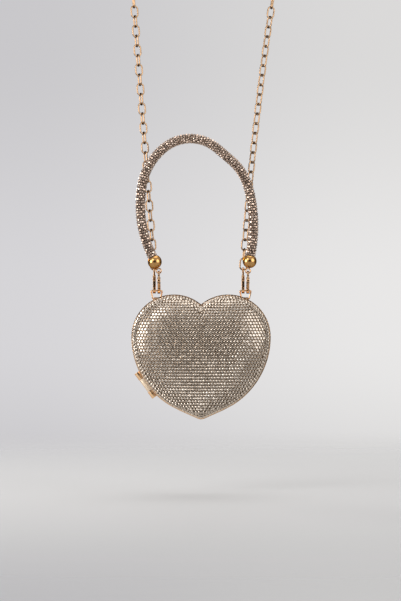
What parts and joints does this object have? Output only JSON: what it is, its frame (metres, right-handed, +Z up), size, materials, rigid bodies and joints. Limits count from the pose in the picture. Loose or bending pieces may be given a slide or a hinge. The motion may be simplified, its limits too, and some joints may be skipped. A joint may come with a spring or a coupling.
{
  "type": "heart shaped purse",
  "caption": "Heart shaped hard purse covered in stones, with a hinged front, wire rings, lobster clasps, a stone covered tube handle and a chain strap",
  "frame": {"origin": "where the strap is held: on its top run, above the middle of the purse", "axes": "+X to the right seen from the front, -Y to the front, +Z up; the strap and the ring bars lie in the plane Y = 0"},
  "size_m": [0.1397, 0.05, 0.4274],
  "materials": {
    "rose_gold": "polished",
    "dull_gold": "satin",
    "yellow_gold": "polished",
    "steel_wire": "satin",
    "champagne_stones": "faceted",
    "brown_stones": "faceted",
    "black_shell": "gloss",
    "black_core": "matte",
    "satin_lining": "satin"
  },
  "bodies": {
    "strap": {"chain_left": "rose_gold", "chain_top": "rose_gold", "chain_right": "rose_gold", "chain_clasp_left": "rose_gold", "chain_clasp_right": "rose_gold", "chain_pin_left": "steel_wire", "chain_pin_right": "steel_wire"},
    "strap_lever_left": {"chain_lever_left": "rose_gold"},
    "strap_lever_right": {"chain_lever_right": "rose_gold"},
    "handle_clasps": {"handle_clasp_left": "rose_gold", "handle_clasp_right": "rose_gold", "handle_pin_left": "steel_wire", "handle_pin_right": "steel_wire"},
    "handle_lever_body_left": {"handle_lever_left": "rose_gold"},
    "handle_lever_body_right": {"handle_lever_right": "rose_gold"},
    "handle": {"handle_tube": "brown_stones", "handle_core": "black_core", "eye_pin_left": "rose_gold", "eye_pin_right": "rose_gold", "bead_left": "yellow_gold", "bead_right": "yellow_gold"},
    "rings": {"ring_left": "rose_gold", "ring_right": "rose_gold"},
    "purse": {"rear_rim": "rose_gold", "rear_shell": "black_shell", "rear_lining": "satin_lining", "rear_stones": "champagne_stones", "lug_left": "rose_gold", "lug_right": "rose_gold", "hinge_ends": "rose_gold", "hinge_pin": "steel_wire", "rear_magnets": "steel_wire"},
    "front": {"front_rim": "rose_gold", "front_shell": "black_shell", "front_lining": "satin_lining", "front_stones": "champagne_stones", "hinge_middle": "dull_gold", "front_magnets": "steel_wire"}
  },
  "joints": [
    {"name": "rings_swing", "type": "hinge", "parent": "strap", "child": "rings", "pos_m": [0, 0, -0.30302], "axis": [1, 0, 0], "range_deg": [-30, 30]},
    {"name": "purse_swing", "type": "hinge", "parent": "rings", "child": "purse", "pos_m": [0, 0, -0.31062], "axis": [1, 0, 0], "range_deg": [-20, 20]},
    {"name": "front_opens", "type": "hinge", "parent": "purse", "child": "front", "pos_m": [-0.05149, -0.0026, -0.39088], "axis": [0.5878, 0, -0.809], "range_deg": [0, 100]},
    {"name": "handle_clasps_fold", "type": "hinge", "parent": "strap", "child": "handle_clasps", "pos_m": [0, 0, -0.30302], "axis": [1, 0, 0], "range_deg": [0, 55]},
    {"name": "handle_fold", "type": "hinge", "parent": "handle_clasps", "child": "handle", "pos_m": [0, -0.0109, -0.28686], "axis": [1, 0, 0], "range_deg": [0, 55]},
    {"name": "strap_left_lever", "type": "hinge", "parent": "strap", "child": "strap_lever_left", "pos_m": [-0.0437, -0.0024, -0.29183], "axis": [1, 0, 0], "range_deg": [0, 25], "stiffness_Nm_per_rad": 0.03, "springref_deg": -28.65},
    {"name": "handle_left_lever", "type": "hinge", "parent": "handle_clasps", "child": "handle_lever_body_left", "pos_m": [-0.0393, -0.00825, -0.29508], "axis": [1, 0, 0], "range_deg": [0, 25], "stiffness_Nm_per_rad": 0.03, "springref_deg": -28.65},
    {"name": "strap_right_lever", "type": "hinge", "parent": "strap", "child": "strap_lever_right", "pos_m": [0.0393, -0.0024, -0.29183], "axis": [1, 0, 0], "range_deg": [0, 25], "stiffness_Nm_per_rad": 0.03, "springref_deg": -28.65},
    {"name": "handle_right_lever", "type": "hinge", "parent": "handle_clasps", "child": "handle_lever_body_right", "pos_m": [0.0437, -0.00825, -0.29508], "axis": [1, 0, 0], "range_deg": [0, 25], "stiffness_Nm_per_rad": 0.03, "springref_deg": -28.65}
  ]
}
